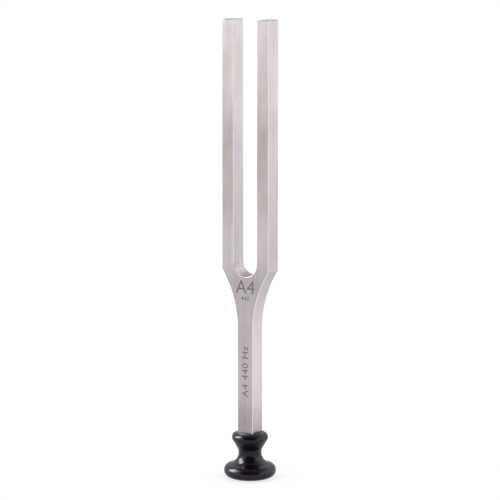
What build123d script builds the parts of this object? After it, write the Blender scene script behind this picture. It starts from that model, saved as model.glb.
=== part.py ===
from build123d import *
import os
from math import acos, asin, atan2, degrees, hypot

# A tuning fork for a1 = 440 Hz with a moulded foot. The fork is one bar of steel that stands
# upright: Z runs up its axis, the tines spread along X and the marked front faces -Y. The origin
# is the centre of the foot's underside. All lengths are in millimetres.

# ---- driving dimensions of the bar
FORK_WIDTH = 20.0            # over both tines
BAR_DEPTH = 7.0              # front to back, the same from tines to stem
TINE_THICKNESS = 5.0         # sets the pitch, together with the slot's depth
OVERALL_HEIGHT = 171.5       # from the foot's underside to the tips of the tines
SLOT_DEPTH = 95.0            # from the tips to the bottom of the round slot
STEM_WIDTH = 6.5
YOKE_RADIUS = 40.0           # the hollow flanks between the tines and the stem
YOKE_TANGENT_HEIGHT = 56.6   # where the flanks run out into the stem
EDGE_BREAK = 0.15            # ground along every long edge
TIP_BEVEL = 0.3              # around the tips of the tines

# ---- driving dimensions of the foot, a turned shape
BASE_RADIUS = 9.85
BASE_RIM_RADIUS = 2.45       # the full round of the base's edge
NECK_RADIUS = 4.35
NECK_HEIGHT = 9.15           # where the neck is narrowest
COLLAR_RADIUS = 6.85
COLLAR_RIM_RADIUS = 1.85
COLLAR_RIM_HEIGHT = 15.1     # where the collar is widest
CROWN_HEIGHT = 17.8          # the crown's dome, if the stem didn't pass through it
SOCKET_FLOOR = 12.6          # the stem's shoulder rests here

# ---- the thread that joins them, M4, drawn as plain cylinders
THREAD_RADIUS = 2.0
THREAD_CLEARANCE = 0.03
SPIGOT_LENGTH = 7.0
SPIGOT_CHAMFER = 0.4
RELIEF_WIDTH = 0.8
RELIEF_RADIUS = 1.6
INSERT_RADIUS = 2.8
INSERT_LENGTH = 8.0
INSERT_WAIST_RADIUS = 2.45   # the groove between its two knurled bands
INSERT_WAIST_LENGTH = 1.6
INSERT_CHAMFER = 0.3
KNURL_COUNT = 24
KNURL_DEPTH = 0.2

# ---- worked out from them
tip_height = OVERALL_HEIGHT
slot_bottom = tip_height - SLOT_DEPTH
slot_radius = FORK_WIDTH / 2 - TINE_THICKNESS
slot_centre = slot_bottom + slot_radius
yoke_setback = (FORK_WIDTH - STEM_WIDTH) / 2
yoke_angle = degrees(acos(1 - yoke_setback / YOKE_RADIUS))
insert_bottom = SOCKET_FLOOR - INSERT_LENGTH


# ---- fork: tines, yoke and stem ground from one bar, with the spigot turned on its lower end
with BuildPart() as fork:
    with BuildSketch(Plane.XZ):
        with BuildLine():
            slot_arc = CenterArc((0, slot_centre), slot_radius, -90, 90)
            inner_side = Line(slot_arc @ 1, (slot_radius, tip_height))
            tip = Line(inner_side @ 1, (FORK_WIDTH / 2, tip_height))
            flank = CenterArc(
                (STEM_WIDTH / 2 + YOKE_RADIUS, YOKE_TANGENT_HEIGHT), YOKE_RADIUS, 180, -yoke_angle
            )
            outer_side = Line(tip @ 1, flank @ 1)
            stem_side = Line(flank @ 0, (STEM_WIDTH / 2, SOCKET_FLOOR))
            shoulder = Line(stem_side @ 1, (0, SOCKET_FLOOR))
            mirror(about=Plane.YZ)
        make_face()
    extrude(amount=BAR_DEPTH / 2, both=True)

    tip_edges = fork.edges().group_by(Axis.Z)[-1]
    chamfer(tip_edges, length=TIP_BEVEL)

    face_edges = fork.edges().group_by(Axis.Y)[0] + fork.edges().group_by(Axis.Y)[-1]
    long_edges = face_edges.filter_by(
        lambda edge: SOCKET_FLOOR < edge.center().Z < tip_height - TIP_BEVEL
    )
    chamfer(long_edges, length=EDGE_BREAK)

    with BuildSketch(Plane.XY.offset(SOCKET_FLOOR)):
        Circle(THREAD_RADIUS)
    extrude(amount=-SPIGOT_LENGTH)
    chamfer(fork.edges().group_by(Axis.Z)[0], length=SPIGOT_CHAMFER)
    with BuildSketch(Plane.XY.offset(SOCKET_FLOOR)):
        Circle(THREAD_RADIUS)
        Circle(RELIEF_RADIUS, mode=Mode.SUBTRACT)
    extrude(amount=-RELIEF_WIDTH, mode=Mode.SUBTRACT)


# ---- threaded insert: a brass bush with two knurled bands, moulded into the foot
with BuildPart() as threaded_insert:
    with BuildSketch(Plane.XY.offset(insert_bottom)):
        Circle(INSERT_RADIUS)
        with PolarLocations(INSERT_RADIUS, KNURL_COUNT):
            RegularPolygon(KNURL_DEPTH, 4, mode=Mode.SUBTRACT)
    extrude(amount=INSERT_LENGTH)
    with BuildSketch(Plane.XY.offset(insert_bottom + (INSERT_LENGTH - INSERT_WAIST_LENGTH) / 2)):
        Circle(INSERT_RADIUS)
        Circle(INSERT_WAIST_RADIUS, mode=Mode.SUBTRACT)
    extrude(amount=INSERT_WAIST_LENGTH, mode=Mode.SUBTRACT)
    with BuildSketch(Plane.XY.offset(insert_bottom)):
        Circle(THREAD_RADIUS + THREAD_CLEARANCE)
    extrude(amount=INSERT_LENGTH, mode=Mode.SUBTRACT)
    bore_rims = threaded_insert.edges().filter_by(GeomType.CIRCLE).filter_by(
        lambda edge: edge.radius < THREAD_RADIUS + 2 * THREAD_CLEARANCE
    )
    chamfer(bore_rims, length=INSERT_CHAMFER)


# ---- foot: one moulding, turned about Z, with a socket for the stem and a pocket for the insert
rim_centre = (BASE_RADIUS - BASE_RIM_RADIUS, BASE_RIM_RADIUS)
collar_centre = (COLLAR_RADIUS - COLLAR_RIM_RADIUS, COLLAR_RIM_HEIGHT)

# The hollow of the neck touches the round of the base, which sets its radius.
neck_inset = BASE_RADIUS - NECK_RADIUS - BASE_RIM_RADIUS
neck_rise = NECK_HEIGHT - BASE_RIM_RADIUS
neck_fillet = (neck_inset**2 + neck_rise**2 - BASE_RIM_RADIUS**2) / (
    2 * (BASE_RIM_RADIUS + neck_inset)
)
neck_centre = (NECK_RADIUS + neck_fillet, NECK_HEIGHT)
rim_end_angle = degrees(atan2(neck_rise, neck_centre[0] - rim_centre[0]))

# A straight cone joins the hollow of the neck to the collar's rim, tangent to both.
collar_reach = hypot(neck_centre[0] - collar_centre[0], neck_centre[1] - collar_centre[1])
collar_bearing = degrees(atan2(neck_centre[1] - collar_centre[1], neck_centre[0] - collar_centre[0]))
cone_angle = collar_bearing + degrees(acos((COLLAR_RIM_RADIUS + neck_fillet) / collar_reach))

# The crown is a dome centred on the axis that runs into the collar's rim without a corner.
crown_rise = CROWN_HEIGHT - COLLAR_RIM_HEIGHT
crown_radius = (crown_rise**2 + collar_centre[0] ** 2 - COLLAR_RIM_RADIUS**2) / (
    2 * (crown_rise - COLLAR_RIM_RADIUS)
)
crown_angle = 90 - degrees(asin(collar_centre[0] / (crown_radius - COLLAR_RIM_RADIUS)))

with BuildPart() as foot:
    with BuildSketch(Plane.XZ):
        with BuildLine():
            base_rim = CenterArc(rim_centre, BASE_RIM_RADIUS, -90, 90 + rim_end_angle)
            neck = CenterArc(
                neck_centre, neck_fillet, rim_end_angle + 180, cone_angle - rim_end_angle
            )
            collar_rim = CenterArc(
                collar_centre, COLLAR_RIM_RADIUS, cone_angle, crown_angle - cone_angle
            )
            cone = Line(neck @ 1, collar_rim @ 0)
            crown = CenterArc(
                (0, CROWN_HEIGHT - crown_radius), crown_radius, crown_angle, 90 - crown_angle
            )
            axis_line = Line(crown @ 1, (0, 0))
            underside = Line((0, 0), base_rim @ 0)
        make_face()
    revolve(axis=Axis.Z)

    with BuildSketch(Plane.XY.offset(SOCKET_FLOOR)):
        Rectangle(STEM_WIDTH, BAR_DEPTH)
    extrude(amount=CROWN_HEIGHT, mode=Mode.SUBTRACT)
    with BuildSketch(Plane.XY.offset(insert_bottom)):
        Circle(INSERT_RADIUS)
    extrude(amount=INSERT_LENGTH, mode=Mode.SUBTRACT)


fork.part.label = "fork"
threaded_insert.part.label = "threaded_insert"
foot.part.label = "foot"

os.makedirs("parts", exist_ok=True)
export_step(fork.part, "parts/fork.step")
export_step(threaded_insert.part, "parts/threaded_insert.step")
export_step(foot.part, "parts/foot.step")
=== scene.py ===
import bpy
import bmesh
from math import acos, atan2, cos, hypot, pi, radians, sin
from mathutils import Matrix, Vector


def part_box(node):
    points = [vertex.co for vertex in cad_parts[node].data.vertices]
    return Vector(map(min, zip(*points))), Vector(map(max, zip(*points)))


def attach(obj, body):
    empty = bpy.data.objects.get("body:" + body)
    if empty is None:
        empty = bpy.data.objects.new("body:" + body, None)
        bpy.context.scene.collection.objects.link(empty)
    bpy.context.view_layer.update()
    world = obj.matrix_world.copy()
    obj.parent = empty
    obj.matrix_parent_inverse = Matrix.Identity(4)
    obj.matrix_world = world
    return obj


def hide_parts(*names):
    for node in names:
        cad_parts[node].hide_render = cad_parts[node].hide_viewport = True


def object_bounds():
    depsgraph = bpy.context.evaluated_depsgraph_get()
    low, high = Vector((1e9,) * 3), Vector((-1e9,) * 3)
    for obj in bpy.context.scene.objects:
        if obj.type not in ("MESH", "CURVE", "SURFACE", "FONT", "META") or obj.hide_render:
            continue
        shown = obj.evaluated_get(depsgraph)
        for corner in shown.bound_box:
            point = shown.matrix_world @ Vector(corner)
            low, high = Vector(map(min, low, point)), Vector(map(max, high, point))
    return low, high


# A tuning fork for a1 = 440 Hz, standing on its moulded foot. Z runs up the stem, the tines are
# side by side along X, and the marked face looks towards -Y. Everything is in metres.
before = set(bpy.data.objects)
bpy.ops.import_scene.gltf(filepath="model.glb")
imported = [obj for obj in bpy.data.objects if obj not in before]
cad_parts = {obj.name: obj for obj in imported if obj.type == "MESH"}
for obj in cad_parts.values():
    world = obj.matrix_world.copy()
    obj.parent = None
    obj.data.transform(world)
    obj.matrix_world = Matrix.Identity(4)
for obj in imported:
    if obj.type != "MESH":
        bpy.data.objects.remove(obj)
cad_low, cad_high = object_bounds()


# ---------------------------------------------------------------- the bar
# The fork is one bar of tempered steel. The round-bottomed slot and the yoke's hollow flanks are
# milled, and the flat faces and sides are ground lengthwise. The long edges and the tips are broken
# on a belt, and the end inside the foot is turned down and threaded.

MM = 0.001
TINE_THICKNESS = 5.0 * MM
SLOT_DEPTH = 95.0 * MM
STEM_WIDTH = 6.5 * MM
YOKE_RADIUS = 40.0 * MM
YOKE_TANGENT_HEIGHT = 56.6 * MM      # where the flanks run out into the stem
SHOULDER_HEIGHT = 12.6 * MM          # the bar's lower end, on the floor of the foot's socket
EDGE_BREAK = 0.15 * MM
TIP_BEVEL = 0.3 * MM
BEVEL_STEPS = 3
BEVEL_FULLNESS = 0.6                 # 0.5 would be a true round
ARC_STEP = radians(1.5)

_, fork_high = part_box("fork")
fork_half_width = fork_high.x
fork_half_depth = fork_high.y
tip_height = fork_high.z
slot_radius = fork_half_width - TINE_THICKNESS
slot_centre = tip_height - SLOT_DEPTH + slot_radius


def arc(centre_x, centre_z, radius, start, end):
    """Points of an arc in the plane of the fork's front, angles from +X towards +Z."""
    steps = max(2, round(abs(end - start) / ARC_STEP))
    angles = [start + (end - start) * i / steps for i in range(steps + 1)]
    return [(centre_x + radius * cos(a), centre_z + radius * sin(a)) for a in angles]


def fork_outline():
    """The whole outline of the fork, seen from the front: its right half, then its mirror image."""
    flank_turn = acos(1 - (fork_half_width - STEM_WIDTH / 2) / YOKE_RADIUS)
    right = arc(0, slot_centre, slot_radius, -pi / 2, 0)
    right += [(slot_radius, tip_height), (fork_half_width, tip_height)]
    right += arc(STEM_WIDTH / 2 + YOKE_RADIUS, YOKE_TANGENT_HEIGHT, YOKE_RADIUS, pi - flank_turn, pi)
    right += [(STEM_WIDTH / 2, SHOULDER_HEIGHT)]
    left = [(-x, z) for x, z in reversed(right[1:])]
    return right + left


def new_piece(name, mesh, slot, *materials):
    """A finished piece of the fork, which has only one body, with its materials. The slot is not
    used.
    """
    piece = bpy.data.objects.new(name, mesh)
    bpy.context.scene.collection.objects.link(piece)
    for material in materials:
        mesh.materials.append(material)
    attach(piece, "root")
    return piece


def add_rings(work, rings):
    """Skins a stack of closed rings with quads and closes both ends."""
    loops = [[work.verts.new(point) for point in points] for points in rings]
    count = len(loops[0])
    for lower, upper in zip(loops, loops[1:]):
        for i in range(count):
            j = (i + 1) % count
            work.faces.new((lower[i], lower[j], upper[j], upper[i]))
    work.faces.new(list(reversed(loops[0])))
    work.faces.new(loops[-1])


def shade(mesh, crease):
    """Smooth over the curves, sharp at every edge that turns by more than the crease angle."""
    mesh.polygons.foreach_set("use_smooth", [True] * len(mesh.polygons))
    mesh.set_sharp_from_angle(angle=radians(crease))


THREAD_RADIUS = 2.0 * MM
THREAD_DEPTH = 0.38 * MM
THREAD_PITCH = 0.7 * MM
SPIGOT_LENGTH = 7.0 * MM
SPIGOT_CHAMFER = 0.4 * MM
THREAD_RUNOUT = 0.8 * MM
SPIGOT_SIDES = 48
ROWS_PER_TURN = 8


def spigot_rings():
    """Rings of the turned spigot: a V thread that fades out at the tip and under the shoulder."""
    rows = round(SPIGOT_LENGTH / THREAD_PITCH * ROWS_PER_TURN)
    rings = []
    for row in range(rows + 1):
        up = SPIGOT_LENGTH * row / rows
        crest = THREAD_RADIUS - max(0, SPIGOT_CHAMFER - up)
        if up > SPIGOT_LENGTH - THREAD_RUNOUT:
            crest = THREAD_RADIUS - THREAD_DEPTH
        points = []
        for side in range(SPIGOT_SIDES):
            turn = side / SPIGOT_SIDES
            groove = abs(2 * ((up / THREAD_PITCH - turn) % 1) - 1)
            radius = min(crest, THREAD_RADIUS - THREAD_DEPTH * groove)
            angle = 2 * pi * turn
            points.append(
                (radius * cos(angle), radius * sin(angle), SHOULDER_HEIGHT - SPIGOT_LENGTH + up)
            )
        rings.append(points)
    return rings


# The fork's four finishes, numbered in the order of its materials, and the parts of a facet's normal
# that tell them apart. The right-hand edges carry a painted highlight, and the slot's round and the
# hollow flanks carry painted shade.
GROUND, PAINTED_HIGHLIGHT_EDGE, SLOT_ROUND, HOLLOW_FLANK = range(4)
TURNED_LEFT = -0.3
FLAT_ON = 0.95
SLOPED = 0.01
SAME_PLACE = 0.001 * MM


def finish_of(face):
    """Right-hand edges get the painted highlight, left-hand ones don't; yoke hollows get painted
    shade.
    """
    edge = face.material_index == PAINTED_HIGHLIGHT_EDGE
    in_yoke = YOKE_TANGENT_HEIGHT < face.calc_center_median().z < slot_centre
    if edge and face.normal.x < TURNED_LEFT:
        return GROUND
    if in_yoke and abs(face.normal.y) < FLAT_ON:
        if face.normal.z > SLOPED:
            return SLOT_ROUND
        if face.normal.z < -SLOPED and not edge:
            return HOLLOW_FLANK
    return face.material_index


def build_fork():
    """The outline drawn through to the back, with its edges broken and the spigot added."""
    outline = fork_outline()
    work = bmesh.new()
    front = [work.verts.new((x, -fork_half_depth, z)) for x, z in outline]
    back = [work.verts.new((x, fork_half_depth, z)) for x, z in outline]
    work.faces.new(front)
    work.faces.new(list(reversed(back)))
    for i in range(len(outline)):
        j = (i + 1) % len(outline)
        work.faces.new((front[j], front[i], back[i], back[j]))
    bmesh.ops.recalc_face_normals(work, faces=work.faces)

    tip_edges = [e for e in work.edges if min(v.co.z for v in e.verts) > tip_height - TIP_BEVEL]
    bmesh.ops.bevel(
        work, geom=tip_edges, offset=TIP_BEVEL, segments=BEVEL_STEPS, profile=BEVEL_FULLNESS,
        affect="EDGES", clamp_overlap=False,
    )
    # The long edges lie in the front or the back face and turn a right angle to a side. The tips'
    # edges are done by now, and the shoulder's stay sharp.
    long_edges = [
        e for e in work.edges
        if all(abs(abs(v.co.y) - fork_half_depth) < SAME_PLACE for v in e.verts)
        and min(v.co.z for v in e.verts) < tip_height - 2 * TIP_BEVEL
        and 0.5 < sum(abs(face.normal.y) for face in e.link_faces) < 1.5
        and max(v.co.z for v in e.verts) > SHOULDER_HEIGHT + EDGE_BREAK
    ]
    bmesh.ops.bevel(
        work, geom=long_edges, offset=EDGE_BREAK, segments=BEVEL_STEPS, profile=BEVEL_FULLNESS,
        affect="EDGES", clamp_overlap=False, material=PAINTED_HIGHLIGHT_EDGE,
    )
    work.normal_update()
    for face in work.faces:
        face.material_index = finish_of(face)
    add_rings(work, spigot_rings())
    mesh = bpy.data.meshes.new("fork_bar")
    work.to_mesh(mesh)
    work.free()
    shade(mesh, crease=40)
    return mesh


def new_material(name):
    """An empty node material with its principled shader, ready for the piece's own nodes."""
    material = bpy.data.materials.new(name)
    material.use_nodes = True
    nodes = material.node_tree.nodes
    return material, nodes, material.node_tree.links, nodes["Principled BSDF"]


def stretched_noise(nodes, links, name, scale, detail=3.0, roughness=0.6):
    """Noise in the object's own metres, drawn out along the axes whose scale is small."""
    place = nodes.new("ShaderNodeTexCoord")
    stretch = nodes.new("ShaderNodeMapping")
    stretch.label = name
    stretch.inputs["Scale"].default_value = scale
    noise = nodes.new("ShaderNodeTexNoise")
    noise.inputs["Scale"].default_value = 1.0
    noise.inputs["Detail"].default_value = detail
    noise.inputs["Roughness"].default_value = roughness
    links.new(place.outputs["Object"], stretch.inputs["Vector"])
    links.new(stretch.outputs["Vector"], noise.inputs["Vector"])
    return noise.outputs["Fac"]


def mix_values(nodes, links, share, first, second):
    """The first value where the share is nought, and the second where it is one."""
    mix = nodes.new("ShaderNodeMix")
    mix.data_type = "FLOAT"
    links.new(share, mix.inputs["Factor"])
    links.new(first, mix.inputs[2])
    links.new(second, mix.inputs[3])
    return mix.outputs[0]


def ramp(nodes, links, source, *stops):
    """A colour ramp: each stop is (position, colour)."""
    node = nodes.new("ShaderNodeValToRGB")
    elements = node.color_ramp.elements
    while len(elements) < len(stops):
        elements.new(0.5)
    for element, (position, colour) in zip(elements, stops):
        element.position = position
        element.color = (*colour, 1)
    links.new(source, node.inputs["Fac"])
    return node.outputs["Color"]


def spread(nodes, links, source, low, high):
    """Maps a noise that mostly lies between 0.3 and 0.7 onto low to high."""
    node = nodes.new("ShaderNodeMapRange")
    node.inputs["From Min"].default_value = 0.3
    node.inputs["From Max"].default_value = 0.7
    node.inputs["To Min"].default_value = low
    node.inputs["To Max"].default_value = high
    links.new(source, node.inputs["Value"])
    return node.outputs["Result"]


def mix_colours(nodes, links, blend, first, second, share=None):
    """Two colours multiplied, or mixed by a share."""
    mix = nodes.new("ShaderNodeMix")
    mix.data_type = "RGBA"
    mix.blend_type = blend
    mix.inputs["Factor"].default_value = 1.0
    if share:
        links.new(share, mix.inputs["Factor"])
    links.new(first, mix.inputs[6])
    links.new(second, mix.inputs[7])
    return mix.outputs[2]


def facing_front(nodes, links):
    """One on the front and back of the bar, nought on its sides."""
    geometry = nodes.new("ShaderNodeNewGeometry")
    parts = nodes.new("ShaderNodeSeparateXYZ")
    facing = nodes.new("ShaderNodeMath")
    facing.operation = "ABSOLUTE"
    links.new(geometry.outputs["Normal"], parts.inputs["Vector"])
    links.new(parts.outputs["Y"], facing.inputs[0])
    return facing.outputs[0]


def grain_along_the_bar(nodes, links, facing, across, along):
    """Grinding lines that run lengthwise, on the front and back as well as on the sides."""
    on_sides = stretched_noise(nodes, links, "lines on the sides", (along, across, along))
    on_faces = stretched_noise(nodes, links, "lines on the faces", (across, along, along))
    return mix_values(nodes, links, facing, on_sides, on_faces)


def height_on_piece(nodes, links):
    """The height above the table, as a share of the whole fork's."""
    place = nodes.new("ShaderNodeTexCoord")
    parts = nodes.new("ShaderNodeSeparateXYZ")
    share = nodes.new("ShaderNodeMath")
    share.operation = "DIVIDE"
    share.inputs[1].default_value = tip_height
    links.new(place.outputs["Object"], parts.inputs["Vector"])
    links.new(parts.outputs["Z"], share.inputs[0])
    return share.outputs[0]


# Grinding lines: how many noise waves fit in a metre across them and along them.
FINE_LINES = 7000, 45
COARSE_LINES = 1500, 9
LINE_HEIGHT = 0.004 * MM

# Each finish is a (dark, light) pair of tones, and the noise runs from the one to the other between
# these two values. A faint stain lies over both.
DARK_BELOW = 0.36
LIGHT_ABOVE = 0.64
FACE_TONES = (0.37, 0.355, 0.357), (0.50, 0.483, 0.485)
# painted light: the sides' tones are set lighter than the faces', for the brighter light the sides
# catch
SIDE_TONES_PAINTED_LIGHTER = (0.54, 0.525, 0.54), (0.68, 0.665, 0.68)
# painted highlight: the broken edges' tones are set far lighter than the faces' and sides'
EDGE_PAINTED_HIGHLIGHT_TONES = (0.85, 0.835, 0.84), (0.97, 0.955, 0.96)
STAIN_WARM = (1.0, 0.975, 0.945)
STAIN_ROSY = (1.0, 0.955, 0.97)

# The steel isn't equally bright along the bar, and these belts paint light into it: it is dullest
# just above the foot, a painted reflection of the black foot and its shadow, and brightest near the
# tips, a painted reflection of the bright studio. It is also dull in the yoke and half way up the
# tines. Each stop is a share of the fork's height and a tone.
FACE_PAINTED_LIGHT_BELT = (
    (0.12, (0.78, 0.77, 0.77)), (0.17, (0.97, 0.96, 0.97)), (0.24, (1.02, 1.01, 1.02)),
    (0.40, (0.95, 0.94, 0.95)), (0.43, (0.89, 0.88, 0.88)), (0.49, (1.12, 1.12, 1.12)),
    (0.54, (1.14, 1.14, 1.12)), (0.60, (0.90, 0.89, 0.87)), (0.70, (0.91, 0.90, 0.88)),
    (0.80, (1.02, 1.01, 0.99)), (0.90, (1.14, 1.14, 1.11)), (0.97, (1.20, 1.21, 1.17)),
)
# the sides carry the same painted shade and painted reflection along the bar
SIDE_PAINTED_LIGHT_BELT = (
    (0.10, (0.62, 0.61, 0.63)), (0.135, (0.79, 0.78, 0.80)), (0.17, (1.01, 1.0, 1.01)),
    (0.24, (1.06, 1.06, 1.06)), (0.36, (1.02, 1.02, 1.02)), (0.50, (0.86, 0.86, 0.86)),
    (0.62, (0.92, 0.92, 0.92)), (0.75, (1.01, 1.01, 1.01)), (0.95, (1.09, 1.10, 1.08)),
)
EVEN_BELT = (0.10, (0.92, 0.92, 0.92)), (0.90, (1.0, 1.0, 1.0))

# The round bottom of the slot and the hollow flanks carry painted shade: the slot is darkest at its
# very bottom, with a lighter band just above, and the flanks grow darker towards their tops.
SLOT_PAINTED_SHADE_BELT = (
    (0.446, (0.68, 0.68, 0.68)), (0.449, (0.72, 0.72, 0.72)), (0.455, (0.97, 0.97, 0.97)),
    (0.466, (0.79, 0.79, 0.79)), (0.475, (0.87, 0.87, 0.87)),
)
# painted shade on the hollow flanks, darkest at their tops, where they face down
FLANK_PAINTED_SHADE_BELT = (
    (0.33, (1.05, 1.05, 1.05)), (0.38, (0.96, 0.95, 0.96)), (0.42, (0.84, 0.83, 0.84)),
    (0.46, (0.76, 0.75, 0.76)),
)


def ground_steel(name, faces, face_painted_light_belt, sides, side_painted_light_belt, roughness_low, roughness_high):
    """Ground steel: one pair of tones and one belt of painted light for the faces, and another for
    the sides.
    """
    material, nodes, links, shader = new_material(name)
    facing = facing_front(nodes, links)
    fine_lines = grain_along_the_bar(nodes, links, facing, *FINE_LINES)
    coarse_lines = grain_along_the_bar(nodes, links, facing, *COARSE_LINES)
    cloud = stretched_noise(nodes, links, "uneven polish", (160, 160, 55), detail=3.0)
    stain = stretched_noise(nodes, links, "faint stain", (70, 70, 110), detail=1.0)

    both = nodes.new("ShaderNodeMath")
    both.operation = "ADD"
    links.new(fine_lines, both.inputs[0])
    links.new(coarse_lines, both.inputs[1])
    lines = nodes.new("ShaderNodeMath")
    lines.operation = "MULTIPLY"
    lines.inputs[1].default_value = 0.5
    links.new(both.outputs[0], lines.inputs[0])
    uneven = mix_values(nodes, links, coarse_lines, cloud, lines.outputs[0])

    height = height_on_piece(nodes, links)
    on_faces = mix_colours(
        nodes, links, "MULTIPLY",
        ramp(nodes, links, uneven, (DARK_BELOW, faces[0]), (LIGHT_ABOVE, faces[1])),
        ramp(nodes, links, height, *face_painted_light_belt),
    )
    on_sides = mix_colours(
        nodes, links, "MULTIPLY",
        ramp(nodes, links, uneven, (DARK_BELOW, sides[0]), (LIGHT_ABOVE, sides[1])),
        ramp(nodes, links, height, *side_painted_light_belt),
    )
    # both tones already hold the belts' painted shade and painted reflection along the bar
    polish = mix_colours(nodes, links, "MIX", on_sides, on_faces, facing)
    tint = ramp(nodes, links, stain, (0.35, STAIN_WARM), (0.65, STAIN_ROSY))
    links.new(mix_colours(nodes, links, "MULTIPLY", polish, tint), shader.inputs["Base Color"])
    links.new(
        spread(nodes, links, uneven, roughness_low, roughness_high), shader.inputs["Roughness"]
    )
    bump = nodes.new("ShaderNodeBump")
    bump.inputs["Strength"].default_value = 0.6
    bump.inputs["Distance"].default_value = LINE_HEIGHT
    links.new(lines.outputs[0], bump.inputs["Height"])
    links.new(bump.outputs["Normal"], shader.inputs["Normal"])

    around = nodes.new("ShaderNodeTangent")
    around.direction_type = "RADIAL"
    around.axis = "Z"
    links.new(around.outputs["Tangent"], shader.inputs["Tangent"])
    shader.inputs["Metallic"].default_value = 1.0
    shader.inputs["Anisotropic"].default_value = 0.5
    return material


fork = new_piece(
    "fork_bar", build_fork(), "steel",
    ground_steel("ground_steel", FACE_TONES, FACE_PAINTED_LIGHT_BELT, SIDE_TONES_PAINTED_LIGHTER, SIDE_PAINTED_LIGHT_BELT, 0.27, 0.40),
    # the right-hand broken edges, with their painted highlight
    ground_steel("broken_edge_painted_highlight_steel", EDGE_PAINTED_HIGHLIGHT_TONES, EVEN_BELT, EDGE_PAINTED_HIGHLIGHT_TONES, EVEN_BELT, 0.42, 0.55),
    # the slot's round bottom, with its painted shade
    ground_steel("slot_round_painted_shade_steel", FACE_TONES, FACE_PAINTED_LIGHT_BELT, SIDE_TONES_PAINTED_LIGHTER, SLOT_PAINTED_SHADE_BELT, 0.34, 0.46),
    # the hollow flanks, with their painted shade
    ground_steel("hollow_flank_painted_shade_steel", FACE_TONES, FACE_PAINTED_LIGHT_BELT, SIDE_TONES_PAINTED_LIGHTER, FLANK_PAINTED_SHADE_BELT, 0.30, 0.42),
)
flatten = fork.modifiers.new("keep the faces flat", "WEIGHTED_NORMAL")
flatten.keep_sharp = True
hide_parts("fork")


# ---------------------------------------------------------------- the marking
# The pitch is marked on the front by laser, which darkens the steel without cutting it: a large
# note name and a small number on the yoke, and the pitch in hertz reading up the stem.

MARK_THICKNESS = 0.012 * MM
LETTER_GRAIN = 0.012                 # finer corners than this, as a share of a letter, are merged
YOKE_MARK_CENTRE = 72.8 * MM
YOKE_MARK_HEIGHT = 4.9 * MM
YOKE_NUMBER_CENTRE = 68.5 * MM
YOKE_NUMBER_HEIGHT = 1.8 * MM
STEM_MARK_CENTRE = 40.7 * MM
STEM_MARK_HEIGHT = 2.7 * MM
STEM_MARK_LENGTH = 19.4 * MM
BURNT_DARK = (0.10, 0.095, 0.10)
BURNT_LIGHT = (0.19, 0.18, 0.185)


def burnt_steel():
    """Dull grey, a little patchy, as the beam leaves the surface."""
    material, nodes, links, shader = new_material("laser_mark")
    burn = stretched_noise(nodes, links, "uneven burn", (2600, 2600, 2600))
    links.new(
        ramp(nodes, links, burn, (0.3, BURNT_DARK), (0.7, BURNT_LIGHT)),
        shader.inputs["Base Color"],
    )
    links.new(spread(nodes, links, burn, 0.42, 0.6), shader.inputs["Roughness"])
    shader.inputs["Metallic"].default_value = 0.55
    return material


def lettering(words, tracking):
    """A flat mesh of the words, lying in the XY plane, with a little thickness."""
    text = bpy.data.curves.new(words, "FONT")
    text.body = words
    text.space_character = tracking
    text.extrude = 0.5
    writing = bpy.data.objects.new(words, text)
    bpy.context.scene.collection.objects.link(writing)
    bpy.context.view_layer.update()
    shaped = writing.evaluated_get(bpy.context.evaluated_depsgraph_get())
    mesh = bpy.data.meshes.new_from_object(shaped)
    bpy.data.objects.remove(writing)
    cleaning = bmesh.new()
    cleaning.from_mesh(mesh)
    bmesh.ops.remove_doubles(cleaning, verts=cleaning.verts, dist=LETTER_GRAIN)
    bmesh.ops.dissolve_degenerate(cleaning, edges=cleaning.edges, dist=LETTER_GRAIN)
    bmesh.ops.recalc_face_normals(cleaning, faces=cleaning.faces)
    cleaning.to_mesh(mesh)
    cleaning.free()
    return mesh


def mark_on_front(name, words, centre_height, height, upward=False, length=None, tracking=1.0):
    """Lays the words on the front face, centred on the axis, and reading upwards if asked."""
    mesh = lettering(words, tracking)
    low = [min(v.co[k] for v in mesh.vertices) for k in range(3)]
    high = [max(v.co[k] for v in mesh.vertices) for k in range(3)]
    middle = [(low[k] + high[k]) / 2 for k in range(3)]
    tall = height / (high[1] - low[1])
    wide = length / (high[0] - low[0]) if length else tall
    for vertex in mesh.vertices:
        across = (vertex.co.x - middle[0]) * wide
        up = (vertex.co.y - middle[1]) * tall
        out = (vertex.co.z - middle[2]) / (high[2] - low[2]) * MARK_THICKNESS
        if upward:
            across, up = -up, across
        vertex.co = (across, -fork_half_depth - out, centre_height + up)
    mesh.name = name
    return new_piece(name, mesh, "steel", laser_mark)


laser_mark = burnt_steel()
mark_on_front("mark_note", "A4", YOKE_MARK_CENTRE, YOKE_MARK_HEIGHT)
mark_on_front("mark_number", "440", YOKE_NUMBER_CENTRE, YOKE_NUMBER_HEIGHT)
mark_on_front(
    "mark_pitch", "A4 440 Hz", STEM_MARK_CENTRE, STEM_MARK_HEIGHT,
    upward=True, length=STEM_MARK_LENGTH, tracking=1.05,
)


# ---------------------------------------------------------------- the foot
# The foot is one glossy black moulding: a wide base with a full round edge, a hollow neck and a
# collar with a low crown. The stem's square end drops into the socket in the crown, and its
# thread is screwed down until the shoulder sits on the socket's floor.

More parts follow.
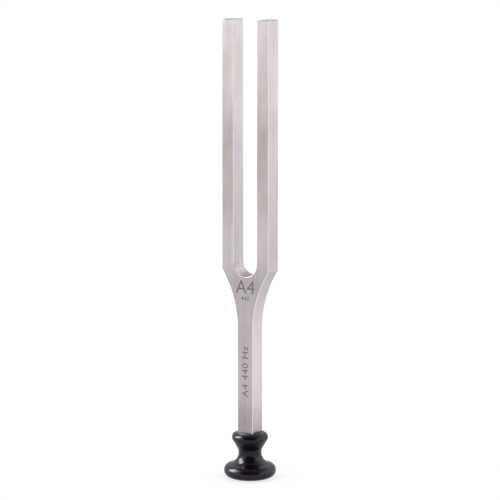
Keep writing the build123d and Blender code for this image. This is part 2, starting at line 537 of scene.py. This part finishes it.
BASE_RIM_RADIUS = 2.45 * MM
NECK_RADIUS = 4.35 * MM
NECK_HEIGHT = 9.15 * MM
COLLAR_RADIUS = 6.85 * MM
COLLAR_RIM_RADIUS = 1.85 * MM
COLLAR_RIM_HEIGHT = 15.1 * MM
CROWN_HEIGHT = 17.8 * MM
CROWN_EDGE = 5.0 * MM                # inside this the crown's rings turn square, to meet the socket
SOCKET_GAP = 0.06 * MM
SOCKET_CORNER = 0.3 * MM
SOCKET_LIP = 0.15 * MM
POCKET_RADIUS = 2.8 * MM
POCKET_DEPTH = 8.0 * MM
FOOT_SIDES = 160
BLACK_DARK = (0.004, 0.0035, 0.005)
BLACK_LIGHT = (0.009, 0.0075, 0.011)
SHEEN_BELOW = 0.2                    # lower, as the glowing table would lighten undersides too much
SHEEN_ABOVE = 0.38
FLOW_RIPPLE = 0.006 * MM

UNDERSIDE_RINGS = (0.02, 0.35, 0.7, 0.97)
CROWN_RINGS = (0, 0.35, 0.7, 1)      # from the last round ring to the socket's square mouth
LIP_TURNS = radians(30), radians(60), radians(90)

_, foot_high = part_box("foot")
base_radius = foot_high.x


def foot_profile():
    """Half of the foot's section as (radius, height) points, from the axis round to the crown."""
    rim_x = base_radius - BASE_RIM_RADIUS
    rise = NECK_HEIGHT - BASE_RIM_RADIUS
    inset = base_radius - NECK_RADIUS - BASE_RIM_RADIUS
    hollow = (inset**2 + rise**2 - BASE_RIM_RADIUS**2) / (2 * (BASE_RIM_RADIUS + inset))
    hollow_x = NECK_RADIUS + hollow
    meeting = atan2(rise, hollow_x - rim_x)

    collar_x = COLLAR_RADIUS - COLLAR_RIM_RADIUS
    aside = hollow_x - collar_x
    below = NECK_HEIGHT - COLLAR_RIM_HEIGHT
    cone = atan2(below, aside) + acos((COLLAR_RIM_RADIUS + hollow) / hypot(aside, below))

    crown_rise = CROWN_HEIGHT - COLLAR_RIM_HEIGHT
    crown = (crown_rise**2 + collar_x**2 - COLLAR_RIM_RADIUS**2) / (
        2 * (crown_rise - COLLAR_RIM_RADIUS)
    )
    crown_start = acos(collar_x / (crown - COLLAR_RIM_RADIUS))

    def crown_height(radius):
        """The crown's height above the table, at this distance from the axis."""
        return CROWN_HEIGHT - crown + (crown**2 - radius**2) ** 0.5

    points = [(rim_x * share, 0) for share in UNDERSIDE_RINGS]
    points += arc(rim_x, BASE_RIM_RADIUS, BASE_RIM_RADIUS, -pi / 2, meeting)
    points += arc(hollow_x, NECK_HEIGHT, hollow, meeting + pi, cone + pi)[1:]
    points += arc(collar_x, COLLAR_RIM_HEIGHT, COLLAR_RIM_RADIUS, cone, crown_start)
    return points, crown_height


def ring(radius, height):
    """A level circle, with a point for each of the foot's sides."""
    angles = [2 * pi * i / FOOT_SIDES for i in range(FOOT_SIDES)]
    return [Vector((radius * cos(a), radius * sin(a), height)) for a in angles]


def square_ring(half_x, half_y, height):
    """A rectangle with rounded corners, with a point for each side of the foot's round rings."""
    points = []
    for i in range(FOOT_SIDES):
        a = 2 * pi * i / FOOT_SIDES
        longest = max(abs(cos(a)), abs(sin(a)))
        x = (half_x - SOCKET_CORNER) * cos(a) / longest + SOCKET_CORNER * cos(a)
        y = (half_y - SOCKET_CORNER) * sin(a) / longest + SOCKET_CORNER * sin(a)
        points.append(Vector((x, y, height)))
    return points


def build_foot():
    """The turned shape from the axis up to the crown, then the lip, the socket and the pocket."""
    profile, crown_height = foot_profile()
    rings = [ring(radius, height) for radius, height in profile]
    half_x = STEM_WIDTH / 2 + SOCKET_GAP
    half_y = fork_half_depth + SOCKET_GAP

    mouth = square_ring(half_x + SOCKET_LIP, half_y + SOCKET_LIP, 0)
    round_edge = ring(CROWN_EDGE, 0)
    for share in CROWN_RINGS:
        rings.append([outer.lerp(inner, share) for outer, inner in zip(round_edge, mouth)])
        for point in rings[-1]:
            point.z = crown_height(hypot(point.x, point.y))
    for turn in LIP_TURNS:
        inward = SOCKET_LIP * (1 - sin(turn))
        lip = square_ring(half_x + inward, half_y + inward, 0)
        for point, above in zip(lip, mouth):
            point.z = crown_height(hypot(above.x, above.y)) - SOCKET_LIP * (1 - cos(turn))
        rings.append(lip)
    rings.append(square_ring(half_x, half_y, SHOULDER_HEIGHT))
    rings.append(ring(POCKET_RADIUS, SHOULDER_HEIGHT))
    rings.append(ring(POCKET_RADIUS, SHOULDER_HEIGHT - POCKET_DEPTH))

    work = bmesh.new()
    add_rings(work, rings)
    bmesh.ops.recalc_face_normals(work, faces=work.faces)
    mesh = bpy.data.meshes.new("foot_moulding")
    work.to_mesh(mesh)
    work.free()
    shade(mesh, crease=35)
    return mesh


def moulded_plastic():
    """Glossy black, with faint flow marks and a duller gloss on what faces down."""
    material, nodes, links, shader = new_material("black_moulding")
    flow = stretched_noise(nodes, links, "flow in the plastic", (90, 90, 160), detail=2.0)
    wear = stretched_noise(nodes, links, "handling marks", (900, 900, 2200), detail=4.0)
    links.new(
        ramp(nodes, links, flow, (0.3, BLACK_DARK), (0.7, BLACK_LIGHT)),
        shader.inputs["Base Color"],
    )
    links.new(spread(nodes, links, wear, 0.14, 0.22), shader.inputs["Roughness"])
    bump = nodes.new("ShaderNodeBump")
    bump.inputs["Strength"].default_value = 0.3
    bump.inputs["Distance"].default_value = FLOW_RIPPLE
    links.new(flow, bump.inputs["Height"])
    links.new(bump.outputs["Normal"], shader.inputs["Normal"])
    shape = nodes.new("ShaderNodeNewGeometry")
    parts = nodes.new("ShaderNodeSeparateXYZ")
    links.new(shape.outputs["True Normal"], parts.inputs["Vector"])
    polish = nodes.new("ShaderNodeMapRange")
    polish.inputs["From Min"].default_value = -0.5
    polish.inputs["From Max"].default_value = 0.1
    polish.inputs["To Min"].default_value = SHEEN_BELOW
    polish.inputs["To Max"].default_value = SHEEN_ABOVE
    links.new(parts.outputs["Z"], polish.inputs["Value"])
    links.new(polish.outputs["Result"], shader.inputs["Specular IOR Level"])
    shader.inputs["IOR"].default_value = 1.46
    shader.inputs["Specular Tint"].default_value = (0.93, 0.85, 1.0, 1.0)
    return material


foot = new_piece("foot_moulding", build_foot(), "foot_plastic", moulded_plastic())
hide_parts("foot")


# ---------------------------------------------------------------- the threaded insert
# A small brass bush with two knurled bands is moulded into the foot, where nobody sees it. It is
# turned from bar, and its bright cuts have gone a little dull in the heat of the moulding.

BRASS_DULL = (0.52, 0.34, 0.12)
BRASS_BRIGHT = (0.74, 0.53, 0.22)
CUT_DEPTH = 0.005 * MM


def turned_brass():
    """Brass with fine rings from the tool and a patchy tarnish."""
    material, nodes, links, shader = new_material("turned_brass")
    cuts = stretched_noise(nodes, links, "tool marks", (150, 150, 9000))
    tarnish = stretched_noise(nodes, links, "tarnish", (700, 700, 700))
    links.new(
        ramp(nodes, links, tarnish, (0.3, BRASS_DULL), (0.7, BRASS_BRIGHT)),
        shader.inputs["Base Color"],
    )
    links.new(spread(nodes, links, cuts, 0.22, 0.38), shader.inputs["Roughness"])
    bump = nodes.new("ShaderNodeBump")
    bump.inputs["Strength"].default_value = 0.4
    bump.inputs["Distance"].default_value = CUT_DEPTH
    links.new(cuts, bump.inputs["Height"])
    links.new(bump.outputs["Normal"], shader.inputs["Normal"])
    shader.inputs["Metallic"].default_value = 1.0
    return material


insert_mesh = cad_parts["threaded_insert"].data
insert_mesh.materials.clear()
insert_mesh.materials.append(turned_brass())


# ---------------------------------------------------------------- the table
# The fork stands on a wide sheet of opal acrylic that is lit from below, so the ground round it is
# evenly pale and its shadow is faint.

TABLE_HALF_WIDTH = 6.0
TABLE_GLOW = 0.72
OPAL_DARK = (0.44, 0.44, 0.44)
OPAL_LIGHT = (0.46, 0.46, 0.46)


def opal_sheet():
    """Matt opal acrylic that glows evenly."""
    material, nodes, links, shader = new_material("opal_sheet")
    tooth = stretched_noise(nodes, links, "tooth of the sheet", (400, 400, 400))
    links.new(
        ramp(nodes, links, tooth, (0.3, OPAL_DARK), (0.7, OPAL_LIGHT)),
        shader.inputs["Base Color"],
    )
    shader.inputs["Roughness"].default_value = 0.9
    shader.inputs["Specular IOR Level"].default_value = 0.1
    shader.inputs["Emission Color"].default_value = (1.0, 0.995, 0.995, 1.0)
    shader.inputs["Emission Strength"].default_value = TABLE_GLOW
    return material


table_mesh = bpy.data.meshes.new("table")
table_corners = [(-1, -1), (1, -1), (1, 1), (-1, 1)]
table_mesh.from_pydata(
    [(x * TABLE_HALF_WIDTH, y * TABLE_HALF_WIDTH, cad_low.z) for x, y in table_corners],
    [], [(0, 1, 2, 3)],
)
table_mesh.materials.append(opal_sheet())
table = bpy.data.objects.new("table", table_mesh)
bpy.context.scene.collection.objects.link(table)


# ---------------------------------------------------------------- the camera
# It stands a little to the right of the fork's front and looks slightly down, from far enough
# away for the tines to stay parallel.

CAMERA_AZIMUTH = 31.5
CAMERA_ELEVATION = 9.5
CAMERA_DISTANCE = 0.852
CAMERA_AIM_HEIGHT = 86.2 * MM
CAMERA_LENS = 165.6


def direction(azimuth, elevation):
    """From the fork towards a place in the studio; azimuth 0 is in front, 90 is on its right."""
    a, e = radians(azimuth), radians(elevation)
    return Vector((sin(a) * cos(e), -cos(a) * cos(e), sin(e)))


def aim(thing, azimuth, elevation, distance, target):
    """Puts a camera or a light into the studio, turned towards the target."""
    away = direction(azimuth, elevation)
    thing.location = target + away * distance
    thing.rotation_mode = "QUATERNION"
    thing.rotation_quaternion = away.to_track_quat("Z", "Y")
    bpy.context.scene.collection.objects.link(thing)


camera = bpy.data.objects.new("camera", bpy.data.cameras.new("camera"))
camera.data.lens = CAMERA_LENS
camera.data.clip_start = 0.05
camera.data.clip_end = 50
aim(camera, CAMERA_AZIMUTH, CAMERA_ELEVATION, CAMERA_DISTANCE, Vector((0, 0, CAMERA_AIM_HEIGHT)))
bpy.context.scene.camera = camera


# ---------------------------------------------------------------- the light
# The studio's side walls are bright white, the back wall is duller and a black drape hangs behind
# the camera. One softbox on the left gives the window-shaped glints on the foot.

WALL_FOOT = (0.95, 0.93, 0.94)
WALL_MIDDLE = (1.0, 0.97, 1.02)
CEILING = (0.25, 0.24, 0.26)
BACK_WALL = (0.7, 0.7, 0.7)
BACK_CORNERS = (1.15, 1.15, 1.15)
SIDE_WALL = (1.85, 1.83, 1.87)
BLACK_DRAPE = (0.08, 0.078, 0.08)
DRAPE_ELEVATION = 30

world = bpy.data.worlds.new("studio")
world.use_nodes = True
bpy.context.scene.world = world
sky_nodes, sky_links = world.node_tree.nodes, world.node_tree.links
outward = sky_nodes.new("ShaderNodeTexCoord")
upward = sky_nodes.new("ShaderNodeSeparateXYZ")
sky_links.new(outward.outputs["Generated"], upward.inputs["Vector"])

# From the level of the table (0) to straight above it (1).
walls = ramp(
    sky_nodes, sky_links, upward.outputs["Z"],
    (0.0, WALL_FOOT), (0.5, WALL_MIDDLE), (0.9, CEILING),
)
towards_camera = sky_nodes.new("ShaderNodeVectorMath")
towards_camera.operation = "DOT_PRODUCT"
towards_camera.inputs[1].default_value = direction(CAMERA_AZIMUTH, DRAPE_ELEVATION)
sky_links.new(outward.outputs["Generated"], towards_camera.inputs[0])
from_back = sky_nodes.new("ShaderNodeMath")
from_back.operation = "MULTIPLY_ADD"
from_back.inputs[1].default_value = 0.5
from_back.inputs[2].default_value = 0.5
sky_links.new(towards_camera.outputs["Value"], from_back.inputs[0])

# From the middle of the back wall (0), round the sides, to behind the camera (1).
drapes = ramp(
    sky_nodes, sky_links, from_back.outputs[0],
    (0.19, BACK_WALL), (0.33, BACK_CORNERS), (0.46, SIDE_WALL),
    (0.81, SIDE_WALL), (0.90, BLACK_DRAPE),
)
studio = mix_colours(sky_nodes, sky_links, "MULTIPLY", walls, drapes)
sky_links.new(studio, sky_nodes["Background"].inputs["Color"])


def soft_light(name, azimuth, elevation, distance, width, height, watts):
    """An area light that faces the middle of the fork and shows only in its gloss."""
    light = bpy.data.objects.new(name, bpy.data.lights.new(name, "AREA"))
    light.data.shape = "RECTANGLE"
    light.data.size = width
    light.data.size_y = height
    light.data.energy = watts
    light.visible_diffuse = False
    aim(light, azimuth, elevation, distance, Vector((0, 0, CAMERA_AIM_HEIGHT)))


soft_light(
    "softbox", azimuth=-63.5, elevation=31, distance=0.9, width=0.5, height=0.65, watts=16
)

bpy.context.scene.view_settings.view_transform = "Standard"
